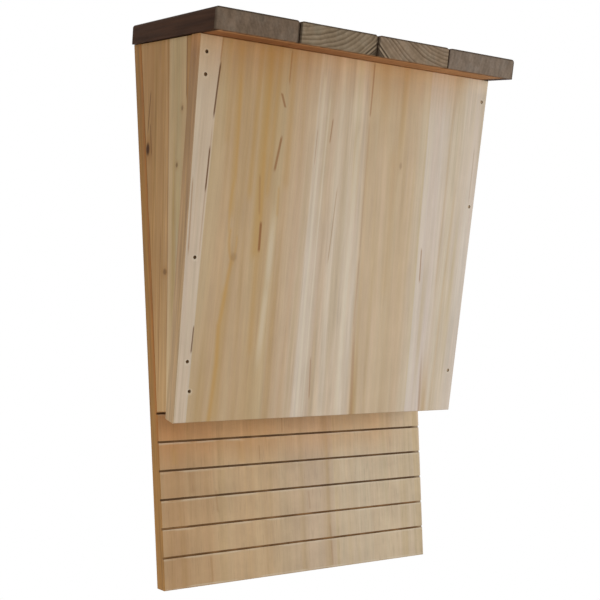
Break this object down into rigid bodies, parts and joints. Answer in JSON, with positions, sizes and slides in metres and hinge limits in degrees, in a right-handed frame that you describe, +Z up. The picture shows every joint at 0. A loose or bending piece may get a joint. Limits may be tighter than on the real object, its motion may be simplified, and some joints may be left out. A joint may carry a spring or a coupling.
{
  "type": "bat box",
  "caption": "Wall-hung bat box: tapering wooden chamber open at its foot, sloping board roof and a back panel that runs on below as a grooved landing board.",
  "frame": {"origin": "middle of the back panel's rear face, which lies on the wall", "axes": "+Z up along the wall, +Y into the wall, so the front looks along -Y, and +X to the right seen from the front"},
  "size_m": [0.208, 0.1237, 0.3545],
  "materials": {
    "back_wood": "planed softwood, untreated",
    "side_wood": "planed softwood, untreated",
    "front_wood": "planed softwood in edge-glued strips, untreated",
    "roof_wood": "dark stained softwood with open end grain",
    "nail_steel": "dull steel wire"
  },
  "bodies": {
    "root": {"back_panel": "back_wood", "left_side_panel": "side_wood", "right_side_panel": "side_wood", "front_panel": "front_wood", "roof_board_1": "roof_wood", "roof_board_2": "roof_wood", "roof_board_3": "roof_wood", "roof_board_4": "roof_wood", "front_nail_left_1": "nail_steel", "front_nail_left_2": "nail_steel", "front_nail_left_3": "nail_steel", "front_nail_left_4": "nail_steel", "front_nail_left_5": "nail_steel", "front_nail_right_1": "nail_steel", "front_nail_right_2": "nail_steel", "front_nail_right_3": "nail_steel", "rear_nail_left_1": "nail_steel", "rear_nail_left_2": "nail_steel", "rear_nail_left_3": "nail_steel", "rear_nail_left_4": "nail_steel", "rear_nail_right_1": "nail_steel", "rear_nail_right_2": "nail_steel", "rear_nail_right_3": "nail_steel", "rear_nail_right_4": "nail_steel", "roof_nail_rear_1_1": "nail_steel", "roof_nail_rear_1_2": "nail_steel", "roof_nail_rear_2_1": "nail_steel", "roof_nail_rear_2_2": "nail_steel", "roof_nail_rear_3_1": "nail_steel", "roof_nail_rear_3_2": "nail_steel", "roof_nail_rear_4_1": "nail_steel", "roof_nail_rear_4_2": "nail_steel", "roof_nail_front_1_1": "nail_steel", "roof_nail_front_1_2": "nail_steel", "roof_nail_front_2_1": "nail_steel", "roof_nail_front_2_2": "nail_steel", "roof_nail_front_3_1": "nail_steel", "roof_nail_front_3_2": "nail_steel", "roof_nail_front_4_1": "nail_steel", "roof_nail_front_4_2": "nail_steel"}
  },
  "joints": []
}
